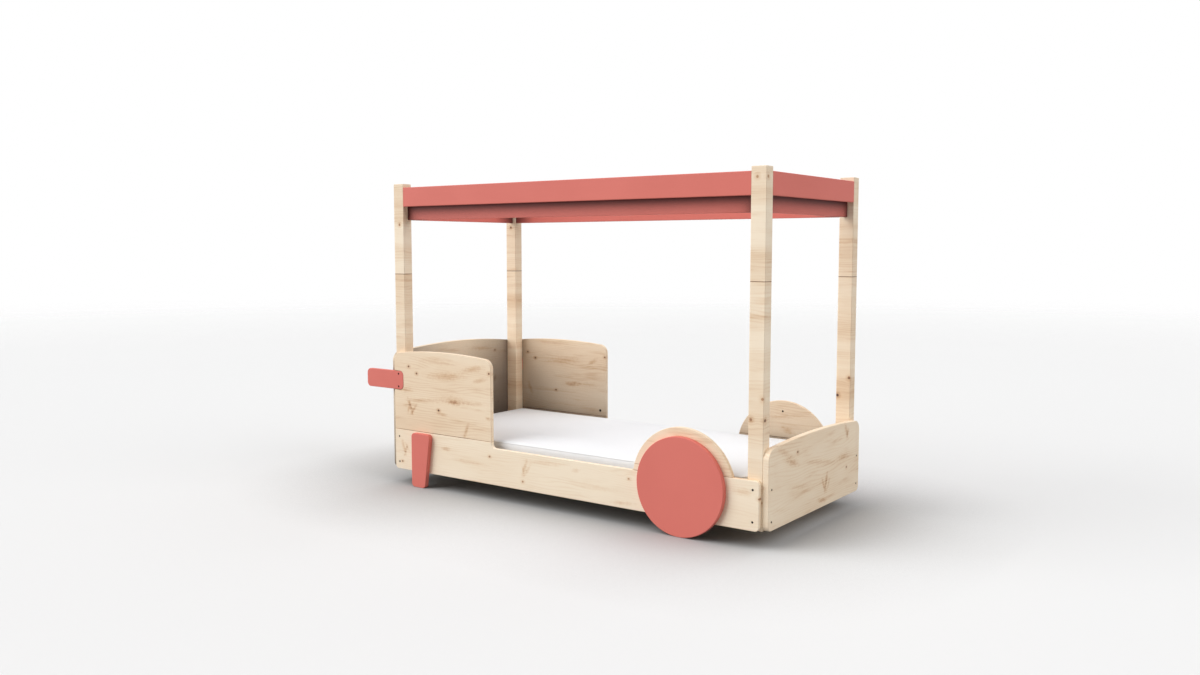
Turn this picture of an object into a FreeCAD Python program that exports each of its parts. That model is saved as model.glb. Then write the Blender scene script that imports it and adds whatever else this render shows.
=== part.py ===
import FreeCAD, Part
import math
import os
import Sketcher
from FreeCAD import Placement, Rotation, Vector

# A child's bed in the shape of a hand cart.  Millimetres.
# +X runs along the bed from the head (handles) to the foot (wheels), +Y to the
# bed's left side, +Z up.  The origin lies on the floor under the middle of the
# bed's bounding box.  The bed stands on two wheels and two tapered legs.

SIZES = [
    # mattress, and the room that the frame leaves round it
    ("mattress_length", 2000.0),
    ("mattress_width", 900.0),
    ("mattress_height", 110.0),
    ("mattress_end_play", 8.0),
    ("mattress_side_play", 20.0),
    ("mattress_crown", 8.0),
    ("mattress_waist", 4.0),
    ("mattress_edge", 18.0),
    ("mattress_corner", 45.0),
    ("soft_gap", 0.3),
    # posts, each in a lower and an upper length
    ("post_along", 70.0),
    ("post_across", 57.0),
    ("post_lower", 1026.0),
    ("post_upper", 465.0),
    ("post_round", 3.0),
    # boards
    ("board", 20.0),
    ("end_board", 28.0),
    ("edge_round", 3.0),
    ("ground_clearance", 76.0),
    ("rail_height", 182.0),
    ("rail_step", 30.0),
    ("step_corner", 22.0),
    ("rail_short", 5.0),
    ("rail_corner", 20.0),
    ("panel_length", 680.0),
    ("panel_height", 401.0),
    ("panel_rise", 20.0),
    ("panel_corner", 48.0),
    ("head_height", 611.0),
    ("head_rise", 31.0),
    ("foot_height", 339.0),
    ("foot_rise", 19.0),
    ("end_corner", 48.0),
    ("end_low_corner", 26.0),
    # handles
    ("handle_reach", 206.0),
    ("handle_height", 97.0),
    ("handle_centre", 470.0),
    ("handle_corner", 24.0),
    ("handle_screws", 67.0),
    ("notch_play", 0.5),
    # wheels and fenders
    ("wheel_radius", 218.0),
    ("wheel_thick", 25.0),
    ("wheel_inset", 376.0),
    ("wheel_round", 3.0),
    ("fender_margin", 38.0),
    ("fender_step", 180.0),
    # legs
    ("leg_inset", 150.0),
    ("leg_head", 133.0),
    ("leg_foot", 95.0),
    ("leg_height", 282.0),
    ("leg_thick", 25.0),
    ("leg_corner", 20.0),
    # canopy frame
    ("fascia_height", 98.0),
    ("fascia_drop", 19.0),
    ("roof_rail_height", 98.0),
    ("roof_rail_drop", 87.0),
    ("roof_rail_inset", 31.0),
    # slatted base
    ("ledger_rise", 49.0),
    ("ledger_height", 40.0),
    ("ledger_thick", 27.0),
    ("slat_thick", 18.0),
    ("slat_width", 80.0),
    ("slat_margin", 10.0),
    ("slat_play", 2.0),
    ("slat_round", 4.0),
    # screws: radii, head and how far they reach into the second piece
    ("screw_shank", 3.0),
    ("screw_head", 5.0),
    ("screw_head_height", 4.0),
    ("screw_recess", 1.0),
    ("screw_grip", 20.0),
    ("trim_grip", 16.0),
    ("ledger_grip", 14.0),
    ("bore_play", 0.25),
    ("screw_low", 38.0),
    ("screw_high", 173.0),
    ("inner_screw_low", 22.0),
    ("inner_screw_high", 150.0),
    ("wheel_screw_spread", 90.0),
    ("wheel_screw_edge", 15.0),
    # dowels and cam connectors
    ("dowel_radius", 4.0),
    ("dowel_grip", 20.0),
    ("panel_dowel_start", 200.0),
    ("panel_dowel_gap", 200.0),
    ("fender_dowel_spread", 110.0),
    ("canopy_dowel_edge", 24.0),
    ("splice_radius", 6.0),
    ("splice_grip", 40.0),
    ("splice_spread", 18.0),
    ("cam_radius", 7.5),
    ("cam_depth", 13.0),
    ("cam_rise", 31.0),
    ("cam_edge", 40.0),
    ("pin_radius", 3.5),
    ("pin_grip", 22.0),
    ("pin_gap", 0.2),
]

SLAT_COUNT = 14
LEDGER_SCREWS = 5

doc = FreeCAD.newDocument("CartBed")
sheet = doc.addObject("Spreadsheet::Sheet", "Sizes")
for row, (alias, number) in enumerate(SIZES, start=1):
    sheet.set(f"A{row}", alias.replace("_", " "))
    sheet.set(f"B{row}", str(number))
    sheet.setAlias(f"B{row}", alias)
doc.recompute()


class Size:
    """A length worked out from the sheet: its value now, and the text that ties it."""

    def __init__(self, number, text):
        self.number = float(number)
        self.text = text

    @staticmethod
    def of(other):
        """Wrap a plain number, so that it can be added to a size."""
        return other if isinstance(other, Size) else Size(other, repr(float(other)))

    def __add__(self, other):
        other = Size.of(other)
        return Size(self.number + other.number, f"({self.text} + {other.text})")

    def __sub__(self, other):
        other = Size.of(other)
        return Size(self.number - other.number, f"({self.text} - {other.text})")

    def __mul__(self, other):
        other = Size.of(other)
        return Size(self.number * other.number, f"({self.text} * {other.text})")

    def __truediv__(self, other):
        other = Size.of(other)
        return Size(self.number / other.number, f"({self.text} / {other.text})")

    def __neg__(self):
        return Size(-self.number, f"(0.0 - {self.text})")

    def root(self):
        """The square root of this size."""
        return Size(math.sqrt(self.number), f"sqrt({self.text})")


def cell(alias):
    """The size kept in the sheet under this alias."""
    return Size(getattr(sheet, alias), f"Sizes.{alias}")


# ---------------------------------------------------------------- main places
zero = Size(0.0, "0.0")
board = cell("board")
end_board = cell("end_board")
bay_length = cell("mattress_length") + cell("mattress_end_play") * 2
frame_length = bay_length + cell("post_along") * 2
frame_width = cell("mattress_width") + cell("mattress_side_play") * 2
half_width = frame_width / 2
head_face = (cell("handle_reach") - frame_length - end_board) / 2
foot_face = head_face + frame_length
bed_bottom = cell("ground_clearance")
rail_top = bed_bottom + cell("rail_height")
rail_end_top = rail_top + cell("rail_step")
splice_level = bed_bottom + cell("post_lower")
post_top = splice_level + cell("post_upper")
ledger_bottom = bed_bottom + cell("ledger_rise")
ledger_top = ledger_bottom + cell("ledger_height")
slat_top = ledger_top + cell("slat_thick")
panel_start = head_face + cell("rail_short")
panel_end = panel_start + cell("panel_length")
wheel_centre = foot_face - cell("wheel_inset")
fender_radius = cell("wheel_radius") + cell("fender_margin")
fender_step = wheel_centre - cell("fender_step")
handle_level = bed_bottom + cell("handle_centre")
post_middle = {"head": head_face + cell("post_along") / 2,
               "foot": foot_face - cell("post_along") / 2}

ENDS = ("head", "foot")
SIDES = ("right", "left")
OUTWARD = {"right": -1.0, "left": 1.0}
AXES = {"X": Vector(1, 0, 0), "Y": Vector(0, 1, 0), "Z": Vector(0, 0, 1)}
FLAT = 0.01
nodes = []


def side_level(side, outward):
    """The Y of a plane that lies outward of the posts' outer faces on one side."""
    return (half_width + outward) * OUTWARD[side]


# ------------------------------------------------------------------- helpers
def keep(thing, label):
    """Take a finished piece into the list of nodes under its own name."""
    thing.Label = label
    nodes.append(thing)
    return thing


def place(thing, x=zero, y=zero, z=zero, rotation=Rotation()):
    """Put a piece at a place that follows the sheet."""
    thing.Placement = Placement(Vector(x.number, y.number, z.number), rotation)
    for axis, size in zip("xyz", (x, y, z)):
        thing.setExpression(f"Placement.Base.{axis}", size.text)


def new_sketch(body, name, role):
    """A sketch on one of the body's own origin planes."""
    plane = next(item for item in body.Origin.OriginFeatures if item.Role == role)
    sketch = body.newObject("Sketcher::SketchObject", name)
    sketch.AttachmentSupport = [(plane, "")]
    sketch.MapMode = "FlatFace"
    return sketch


def fix_point(sketch, geometry, end, corner):
    """Tie a point of the sketch to its two distances from the sketch's origin."""
    for kind, size in zip(("DistanceX", "DistanceY"), corner):
        index = sketch.addConstraint(
            Sketcher.Constraint(kind, -1, 1, geometry, end, size.number))
        sketch.setExpression(f"Constraints[{index}]", size.text)


def fix_radius(sketch, geometry, radius):
    """Tie an arc or circle of the sketch to its radius."""
    index = sketch.addConstraint(Sketcher.Constraint("Radius", geometry, radius.number))
    sketch.setExpression(f"Constraints[{index}]", radius.text)


def arc_between(start, end, radius, hollow):
    """An arc from start to end, bulging outward, or inward where it is hollow."""
    chord = end.sub(start)
    lift = math.sqrt(radius ** 2 - (chord.Length / 2) ** 2)
    across = Vector(-chord.y, chord.x, 0).normalize()
    centre = start.add(chord * 0.5).add(across * (-lift if hollow else lift))
    first, last = (end, start) if hollow else (start, end)
    turn = [math.atan2(point.y - centre.y, point.x - centre.x) for point in (first, last)]
    return Part.ArcOfCircle(Part.Circle(centre, Vector(0, 0, 1), radius), *turn)


def outline(sketch, corners, arcs=()):
    """A closed outline through corners, anticlockwise; arcs maps a side to its radius.

    Side n runs from corner n to the next one.  A radius given as a pair with
    "hollow" makes an arc that bends into the outline.
    """
    arcs = dict(arcs)
    points = [Vector(across.number, up.number, 0) for across, up in corners]
    ends = []
    for side, start in enumerate(points):
        end = points[(side + 1) % len(points)]
        radius, hollow = arcs.get(side, (None, False))
        if radius is None:
            sketch.addGeometry(Part.LineSegment(start, end))
        else:
            sketch.addGeometry(arc_between(start, end, radius.number, hollow))
        ends.append((2, 1) if hollow else (1, 2))
    for side, corner in enumerate(corners):
        before = (side - 1) % len(corners)
        sketch.addConstraint(
            Sketcher.Constraint("Coincident", before, ends[before][1], side, ends[side][0]))
        fix_point(sketch, side, ends[side][0], corner)
    for side, (radius, _) in arcs.items():
        fix_radius(sketch, side, radius)


def arch_radius(span, rise):
    """The radius of an arch from its span and its rise."""
    return (span * span / 4 + rise * rise) / (rise * 2)


def pad(body, sketch, length):
    """Give a sketch its thickness."""
    solid = body.newObject("PartDesign::Pad", f"{body.Name}_pad")
    solid.Profile = sketch
    solid.Length = length.number
    solid.setExpression("Length", length.text)
    sketch.Visibility = False
    doc.recompute()
    return solid


def fillet(body, feature, chosen, radius):
    """Round the edges of a feature that the chooser picks."""
    names = [f"Edge{number}" for number, edge in enumerate(feature.Shape.Edges, start=1)
             if chosen(edge)]
    if not names:
        raise ValueError(f"no edge to round on {body.Name}")
    rounding = body.newObject("PartDesign::Fillet", f"{body.Name}_round")
    rounding.Base = (feature, names)
    rounding.Radius = radius.number
    rounding.setExpression("Radius", radius.text)
    doc.recompute()
    return rounding


def lies_flat(axis):
    """Chooser: edges that lie wholly in a plane square to the axis."""
    def chosen(edge):
        box = edge.BoundBox
        low, high = {"X": (box.XMin, box.XMax), "Y": (box.YMin, box.YMax),
                     "Z": (box.ZMin, box.ZMax)}[axis]
        return high - low < FLAT
    return chosen


def runs_along(axis, spots=None):
    """Chooser: edges parallel to the axis, at the given spots if there are any."""
    def chosen(edge):
        if edge.Curve.TypeId != "Part::GeomLine":
            return False
        if abs(edge.Curve.Direction.dot(AXES[axis])) < 1 - FLAT:
            return False
        if spots is None:
            return True
        middle = edge.CenterOfMass
        flat = {"X": (middle.y, middle.z), "Y": (middle.x, middle.z),
                "Z": (middle.x, middle.y)}[axis]
        return any(math.hypot(flat[0] - across.number, flat[1] - up.number) < FLAT
                   for across, up in spots)
    return chosen


def plank(label, axis, size, corner, radius, all_round=False):
    """A straight piece of wood: a padded rectangle with its long edges rounded.

    axis is the way it runs, size its three outer sizes and corner its lowest corner;
    all_round also rounds the edges of an upright piece's top.
    """
    along_x, along_y, along_z = size
    body = doc.addObject("PartDesign::Body", label)
    role, across, up, length = {
        "X": ("YZ_Plane", along_y, along_z, along_x),
        "Y": ("XZ_Plane", along_x, along_z, along_y),
        "Z": ("XY_Plane", along_x, along_y, along_z)}[axis]
    sketch = new_sketch(body, f"{label}_section", role)
    outline(sketch, [(zero, zero), (across, zero), (across, up), (zero, up)])
    solid = pad(body, sketch, length)
    long_edge = runs_along(axis)
    far_end = length.number - FLAT

    def picked(edge):
        return long_edge(edge) or (all_round and edge.BoundBox.ZMin > far_end)

    fillet(body, solid, picked, radius)
    x, y, z = corner
    place(body, x, y + along_y if axis == "Y" else y, z)
    return body


def slab(label, side, outward, thick, corners, arcs=(), rounded=()):
    """A flat board on one side of the bed, drawn from the side and padded outward.

    rounded lists pairs of a radius and the corners that it rounds.
    """
    body = doc.addObject("PartDesign::Body", label)
    sketch = new_sketch(body, f"{label}_outline", "XZ_Plane")
    outline(sketch, corners, arcs)
    solid = pad(body, sketch, thick)
    for radius, spots in rounded:
        solid = fillet(body, solid, runs_along("Y", spots), radius)
    level = -(half_width + outward) if side == "right" else half_width + outward + thick
    place(body, y=level)
    return body, solid


def soften(body, feature, axis):
    """Break the edges round both faces of a board."""
    return fillet(body, feature, lies_flat(axis), cell("edge_round"))


# ----------------------------------------------------------------- fasteners
class Fixing:
    """A screw, dowel or pin, with the bore that it needs in the pieces it joins."""

    def __init__(self, name, at, way, radius, length, head=None):
        """at is where it enters, way its direction such as "+Y"; head is its radius."""
        self.sign = 1.0 if way[0] == "+" else -1.0
        self.axis = way[1]
        self.at = at
        self.rotation = Rotation(Vector(0, 0, 1), AXES[self.axis] * self.sign)
        play = cell("bore_play")
        start = cell("screw_recess") if head else zero
        body = self.cylinder(f"{name}_shank", start, radius, length - start)
        hole = self.cylinder(f"{name}_hole", start - play, radius + play, length - start + play * 2)
        if head:
            depth = cell("screw_head_height")
            cap = self.cylinder(f"{name}_cap", start, head, depth)
            well = self.cylinder(f"{name}_well", -play, head + play, start + depth + play)
            body = self.join(f"{name}_screw", body, cap)
            hole = self.join(f"{name}_bore", hole, well)
        self.solid = body
        self.bore = hole

    def cylinder(self, name, offset, radius, height):
        """A cylinder on this fixing's axis, starting at the offset from its entry."""
        solid = doc.addObject("Part::Cylinder", name)
        solid.Radius = radius.number
        solid.Height = height.number
        solid.setExpression("Radius", radius.text)
        solid.setExpression("Height", height.text)
        spot = [size + offset * self.sign if axis == self.axis else size
                for axis, size in zip("XYZ", self.at)]
        place(solid, *spot, rotation=self.rotation)
        return solid

    @staticmethod
    def join(name, first, second):
        """One solid of two that overlap."""
        solid = doc.addObject("Part::Fuse", name)
        solid.Base = first
        solid.Tool = second
        return solid


fixings = {}


def fasten(group, *spots):
    """Add fixings to a group: each spot is at, way, radius, length and maybe a head."""
    row = fixings.setdefault(group, [])
    added = [Fixing(f"{group}_{len(row) + number}", *spot) for number, spot in enumerate(spots)]
    row.extend(added)
    return added


def drill(label, body, holes):
    """The finished piece: a body with the bores of its fixings cut out."""
    if len(holes) > 1:
        tool = doc.addObject("Part::MultiFuse", f"{label}_bores")
        tool.Shapes = [fixing.bore for fixing in holes]
    else:
        tool = holes[0].bore
    piece = doc.addObject("Part::Cut", f"{label}_drilled")
    piece.Base = body
    piece.Tool = tool
    body.Label = f"{label}_blank"
    return keep(piece, label)


shank = cell("screw_shank")
cap = cell("screw_head")
through = board + cell("screw_grip")
end_through = end_board + cell("screw_grip")
trim_length = board + cell("trim_grip")

# ---- side rails to posts, end boards to posts, handles to posts
rail_screws = {}
end_screws = {}
handle_screws = {}
for side in SIDES:
    inward = "+Y" if side == "right" else "-Y"
    outer = side_level(side, board)
    post_line = side_level(side, -cell("post_across") / 2)
    for end in ENDS:
        toward = "+X" if end == "head" else "-X"
        face = head_face - end_board if end == "head" else foot_face + end_board
        levels = [bed_bottom + cell(name) for name in ("screw_low", "screw_high")]
        rail_screws[side, end] = fasten("rail_screws", *[
            ((post_middle[end], outer, level), inward, shank, through, cap)
            for level in levels])
        end_screws[side, end] = fasten("end_board_screws", *[
            ((face, post_line, level), toward, shank, end_through, cap)
            for level in levels])
    handle_screws[side] = fasten("handle_screws", *[
        ((post_middle["head"], outer, handle_level + cell("handle_screws") * half),
         inward, shank, through, cap)
        for half in (-0.5, 0.5)])

# ---- wheels and legs, screwed from inside the bed
wheel_screws = {}
leg_screws = {}
inner_low = bed_bottom + cell("inner_screw_low")
inner_high = bed_bottom + cell("inner_screw_high")
wheel_top = cell("wheel_radius") * 2
leg_middle = head_face + cell("leg_inset") + cell("leg_foot") / 2
for side in SIDES:
    outward = "-Y" if side == "right" else "+Y"
    inner = side_level(side, zero)
    spread = cell("wheel_screw_spread")
    wheel_spots = [(wheel_centre, wheel_top - cell("wheel_screw_edge")),
                   (wheel_centre - spread, inner_high),
                   (wheel_centre + spread, inner_high),
                   (wheel_centre, inner_low)]
    wheel_screws[side] = fasten("wheel_screws", *[
        ((x, inner, z), outward, shank, trim_length, cap) for x, z in wheel_spots])
    leg_screws[side] = fasten("leg_screws", *[
        ((leg_middle, inner, z), outward, shank, trim_length, cap)
        for z in (inner_low, inner_high)])

# ---- cam connectors and dowels between rails, panels and fenders
cams = {}
pins = {}
board_dowels = {}
cam_level = rail_end_top + cell("cam_rise")
dowel = cell("dowel_radius")
dowel_reach = cell("dowel_grip") * 2
for side in SIDES:
    outward = "-Y" if side == "right" else "+Y"
    middle = side_level(side, board / 2)
    cam_x = panel_end - cell("cam_edge")
    cams[side] = fasten("panel_cams", (
        (cam_x, side_level(side, zero), cam_level), outward, cell("cam_radius"),
        cell("cam_depth")))
    pin_foot = rail_end_top - cell("pin_grip")
    pin_length = cell("pin_grip") + cell("cam_rise") - cell("cam_radius") - cell("pin_gap")
    pins[side] = fasten("cam_pins", (
        (cam_x, middle, pin_foot), "+Z", cell("pin_radius"), pin_length))
    low = rail_end_top - cell("dowel_grip")
    dowel_lines = [panel_start + cell("panel_dowel_start") + cell("panel_dowel_gap") * number
                   for number in range(2)]
    dowel_lines += [wheel_centre + cell("fender_dowel_spread") * half for half in (-1.0, 1.0)]
    board_dowels[side] = fasten("board_dowels", *[
        ((x, middle, low), "+Z", dowel, dowel_reach) for x in dowel_lines])

# ---- splices of the posts
splices = {}
for side in SIDES:
    for end in ENDS:
        line = side_level(side, -cell("post_across") / 2)
        splices[side, end] = fasten("splice_dowels", *[
            ((post_middle[end] + cell("splice_spread") * half, line,
              splice_level - cell("splice_grip")),
             "+Z", cell("splice_radius"), cell("splice_grip") * 2)
            for half in (-1.0, 1.0)])

# ---- canopy boards, dowelled to the posts
fascia_bottom = post_top - cell("fascia_drop") - cell("fascia_height")
roof_rail_bottom = post_top - cell("roof_rail_drop") - cell("roof_rail_height")
roof_rows = {"fascia": (zero, fascia_bottom, cell("fascia_height")),
             "roof_rail": (cell("roof_rail_inset"), roof_rail_bottom, cell("roof_rail_height"))}
canopy_dowels = {}
for kind, (inset, bottom, height) in roof_rows.items():
    heights = [bottom + cell("canopy_dowel_edge"), bottom + height - cell("canopy_dowel_edge")]
    for side in SIDES:
        for end in ENDS:
            post_x = (head_face + cell("post_along") if end == "head"
                      else foot_face - cell("post_along"))
            start = post_x - cell("dowel_grip") * (1.0 if end == "head" else -1.0)
            way = "+X" if end == "head" else "-X"
            line = side_level(side, -inset - board / 2)
            canopy_dowels[kind, side, end, "along"] = fasten("canopy_dowels", *[
                ((start, line, z), way, dowel, dowel_reach) for z in heights])
            start = side_level(side, cell("dowel_grip") - cell("post_across"))
            way = "+Y" if side == "right" else "-Y"
            line = (head_face + inset + board / 2 if end == "head"
                    else foot_face - inset - board / 2)
            canopy_dowels[kind, side, end, "across"] = fasten("canopy_dowels", *[
                ((line, start, z), way, dowel, dowel_reach) for z in heights])

# ---- ledgers to rails, slats to ledgers
bay_start = head_face + cell("post_along")
slat_start = bay_start + cell("slat_margin") + cell("slat_width") / 2
slat_pitch = (bay_length - cell("slat_margin") * 2 - cell("slat_width")) / (SLAT_COUNT - 1)
slat_lines = [slat_start + slat_pitch * number for number in range(SLAT_COUNT)]
ledger_screws = {}
slat_screws = {}
for side in SIDES:
    outward = "-Y" if side == "right" else "+Y"
    ledger_inner = side_level(side, -cell("ledger_thick"))
    gaps = [slat_start + slat_pitch * (0.5 + step * (SLAT_COUNT - 2) / (LEDGER_SCREWS - 1))
            for step in range(LEDGER_SCREWS)]
    ledger_screws[side] = fasten("ledger_screws", *[
        ((x, ledger_inner, ledger_bottom + cell("ledger_height") / 2), outward, shank,
         cell("ledger_thick") + cell("ledger_grip"), cap) for x in gaps])
    slat_line = side_level(side, -cell("ledger_thick") / 2)
    slat_screws[side] = fasten("slat_screws", *[
        ((x, slat_line, slat_top), "-Z", shank, cell("slat_thick") + cell("ledger_grip"), cap)
        for x in slat_lines])

# --------------------------------------------------------------------- posts
post_size = (cell("post_along"), cell("post_across"))
for end in ENDS:
    for side in SIDES:
        corner_x = head_face if end == "head" else foot_face - cell("post_along")
        corner_y = -half_width if side == "right" else half_width - cell("post_across")
        lower = plank(f"post_{end}_{side}_lower", "Z", (*post_size, cell("post_lower")),
                      (corner_x, corner_y, bed_bottom), cell("post_round"))
        holes = rail_screws[side, end] + end_screws[side, end] + splices[side, end]
        if end == "head":
            holes = holes + handle_screws[side]
        drill(f"post_{end}_{side}_lower", lower, holes)
        upper = plank(f"post_{end}_{side}_upper", "Z", (*post_size, cell("post_upper")),
                      (corner_x, corner_y, splice_level), cell("post_round"), all_round=True)
        holes = list(splices[side, end])
        for kind in roof_rows:
            holes += canopy_dowels[kind, side, end, "along"]
            holes += canopy_dowels[kind, side, end, "across"]
        drill(f"post_{end}_{side}_upper", upper, holes)

# ---------------------------------------------------------------- side boards
rail_start = panel_start
rail_end = foot_face - cell("rail_short")
for side in SIDES:
    label = f"side_rail_{side}"
    bottom_corners = [(rail_start, bed_bottom), (rail_end, bed_bottom)]
    top_right = (rail_end, rail_end_top)
    foot_inner = (panel_end, rail_top)
    rail, solid = slab(
        label, side, zero, board,
        bottom_corners + [top_right, (fender_step, rail_end_top), (fender_step, rail_top),
                          foot_inner, (panel_end, rail_end_top), (rail_start, rail_end_top)],
        rounded=[(cell("rail_corner"), bottom_corners + [top_right]),
                 (cell("step_corner"), [foot_inner])])
    soften(rail, solid, "Y")
    drill(label, rail, rail_screws[side, "head"] + rail_screws[side, "foot"]
          + wheel_screws[side][1:] + leg_screws[side] + pins[side] + board_dowels[side]
          + ledger_screws[side])

for side in SIDES:
    label = f"side_panel_{side}"
    panel_top = rail_end_top + cell("panel_height")
    arch_ends = [(panel_end, panel_top), (panel_start, panel_top)]
    panel, solid = slab(
        label, side, zero, board,
        [(panel_start, rail_end_top), (panel_end, rail_end_top)] + arch_ends,
        arcs={2: (arch_radius(cell("panel_length"), cell("panel_rise")), False)},
        rounded=[(cell("panel_corner"), arch_ends)])
    play = cell("notch_play")
    notch_low = handle_level - cell("handle_height") / 2 - play
    notch_high = handle_level + cell("handle_height") / 2 + play
    notch_end = head_face + cell("post_along") + play
    notch_start = head_face - play
    notch = new_sketch(panel, f"{label}_notch", "XZ_Plane")
    radius = cell("handle_corner") + play
    outline(notch,
            [(notch_start, notch_low), (notch_end - radius, notch_low),
             (notch_end, notch_low + radius), (notch_end, notch_high - radius),
             (notch_end - radius, notch_high), (notch_start, notch_high)],
            arcs={1: (radius, False), 3: (radius, False)})
    pocket = panel.newObject("PartDesign::Pocket", f"{label}_pocket")
    pocket.Profile = notch
    pocket.Type = "ThroughAll"
    pocket.Reversed = True
    doc.recompute()
    if pocket.Shape.Volume >= solid.Shape.Volume:
        raise ValueError(f"the notch of {label} cuts nothing")
    soften(panel, pocket, "Y")
    drill(label, panel, cams[side] + pins[side] + board_dowels[side][:2])

for side in SIDES:
    label = f"fender_{side}"
    centre = cell("wheel_radius")
    reach_high = (fender_radius * fender_radius
                  - (rail_end_top - centre) * (rail_end_top - centre)).root()
    reach_low = (fender_radius * fender_radius
                 - (rail_top - centre) * (rail_top - centre)).root()
    fender, solid = slab(
        label, side, zero, board,
        [(wheel_centre - reach_low, rail_top), (fender_step, rail_top),
         (fender_step, rail_end_top), (wheel_centre + reach_high, rail_end_top)],
        arcs={3: (fender_radius, False)})
    soften(fender, solid, "Y")
    drill(label, fender, wheel_screws[side][:1] + board_dowels[side][2:])

# ----------------------------------------------------------------- end boards
for end in ENDS:
    label = f"{end}_board"
    body = doc.addObject("PartDesign::Body", label)
    sketch = new_sketch(body, f"{label}_outline", "YZ_Plane")
    top = bed_bottom + cell(f"{end}_height")
    low_ends = [(-half_width, bed_bottom), (half_width, bed_bottom)]
    arch_ends = [(half_width, top), (-half_width, top)]
    outline(sketch, low_ends + arch_ends,
            arcs={2: (arch_radius(frame_width, cell(f"{end}_rise")), False)})
    solid = pad(body, sketch, end_board)
    solid = fillet(body, solid, runs_along("X", arch_ends), cell("end_corner"))
    solid = fillet(body, solid, runs_along("X", low_ends), cell("end_low_corner"))
    soften(body, solid, "X")
    place(body, x=head_face - end_board if end == "head" else foot_face)
    drill(label, body, end_screws["right", end] + end_screws["left", end])

# -------------------------------------------------------------------- handles
for side in SIDES:
    label = f"handle_{side}"
    low = handle_level - cell("handle_height") / 2
    high = handle_level + cell("handle_height") / 2
    tip = head_face - cell("handle_reach")
    root = head_face + cell("post_along")
    corners = [(tip, low), (root, low), (root, high), (tip, high)]
    handle, solid = slab(label, side, zero, board, corners,
                         rounded=[(cell("handle_corner"), corners)])
    soften(handle, solid, "Y")
    drill(label, handle, handle_screws[side])

# --------------------------------------------------------------------- wheels
for side in SIDES:
    label = f"wheel_{side}"
    body = doc.addObject("PartDesign::Body", label)
    profile = new_sketch(body, f"{label}_section", "YZ_Plane")
    thick = cell("wheel_thick")
    rim = -cell("wheel_radius")
    outline(profile, [(zero, rim), (thick, rim), (thick, zero), (zero, zero)])
    disc = body.newObject("PartDesign::Revolution", f"{label}_disc")
    disc.Profile = profile
    disc.ReferenceAxis = (profile, ["H_Axis"])
    disc.Angle = 360.0
    doc.recompute()
    fillet(body, disc, lies_flat("Y"), cell("wheel_round"))
    level = side_level(side, board + thick) if side == "right" else side_level(side, board)
    place(body, wheel_centre, level, cell("wheel_radius"))
    drill(label, body, wheel_screws[side])

# ----------------------------------------------------------------------- legs
for side in SIDES:
    label = f"leg_{side}"
    start = head_face + cell("leg_inset")
    corners = [(start, zero), (start + cell("leg_foot"), zero),
               (start + cell("leg_head"), cell("leg_height")), (start, cell("leg_height"))]
    leg, solid = slab(label, side, board, cell("leg_thick"), corners,
                      rounded=[(cell("leg_corner"), corners)])
    soften(leg, solid, "Y")
    drill(label, leg, leg_screws[side])

# --------------------------------------------------------------- canopy frame
for kind, (inset, bottom, height) in roof_rows.items():
    for side in SIDES:
        label = f"{kind}_{side}"
        corner_y = inset - half_width if side == "right" else half_width - inset - board
        body = plank(label, "X", (bay_length, board, height),
                     (bay_start, corner_y, bottom), cell("edge_round"))
        holes = []
        for end in ENDS:
            holes += canopy_dowels[kind, side, end, "along"]
        drill(label, body, holes)
    for end in ENDS:
        label = f"{kind}_{end}"
        corner_x = head_face + inset if end == "head" else foot_face - inset - board
        length = frame_width - cell("post_across") * 2
        body = plank(label, "Y", (board, length, height),
                     (corner_x, cell("post_across") - half_width, bottom), cell("edge_round"))
        holes = []
        for side in SIDES:
            holes += canopy_dowels[kind, side, end, "across"]
        drill(label, body, holes)

# --------------------------------------------------------------- slatted base
for side in SIDES:
    label = f"ledger_{side}"
    corner_y = -half_width if side == "right" else half_width - cell("ledger_thick")
    body = plank(label, "X", (bay_length, cell("ledger_thick"), cell("ledger_height")),
                 (bay_start, corner_y, ledger_bottom), cell("edge_round"))
    drill(label, body, ledger_screws[side] + slat_screws[side])

for number, line in enumerate(slat_lines):
    label = f"slat_{number + 1:02d}"
    body = plank(label, "Y",
                 (cell("slat_width"), frame_width - cell("slat_play") * 2, cell("slat_thick")),
                 (line - cell("slat_width") / 2, cell("slat_play") - half_width, ledger_top),
                 cell("slat_round"))
    drill(label, body, [slat_screws[side][number] for side in SIDES])

# ------------------------------------------------------------------- mattress
# A foam mattress in a sewn cover: rounded edges, sides drawn in between them and
# a low crown on top.  Its form is what three padded outlines have in common.
mattress_bottom = slat_top + cell("soft_gap")
edge = cell("mattress_edge")
waist = cell("mattress_waist")
side_height = cell("mattress_height") - edge * 2


def cushion_section(label, role, width, length):
    """One upright section of the mattress, padded along it."""
    body = doc.addObject("PartDesign::Body", label)
    sketch = new_sketch(body, f"{label}_section", role)
    half = width / 2
    top = cell("mattress_height")
    side_arc = (arch_radius(side_height, waist), True)
    crown_arc = (arch_radius(width - edge * 2, cell("mattress_crown")), False)
    outline(sketch,
            [(edge - half, zero), (half - edge, zero), (half, edge), (half, top - edge),
             (half - edge, top), (edge - half, top), (-half, top - edge), (-half, edge)],
            arcs={1: (edge, False), 2: side_arc, 3: (edge, False), 4: crown_arc,
                  5: (edge, False), 6: side_arc, 7: (edge, False)})
    pad(body, sketch, length)
    return body


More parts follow.
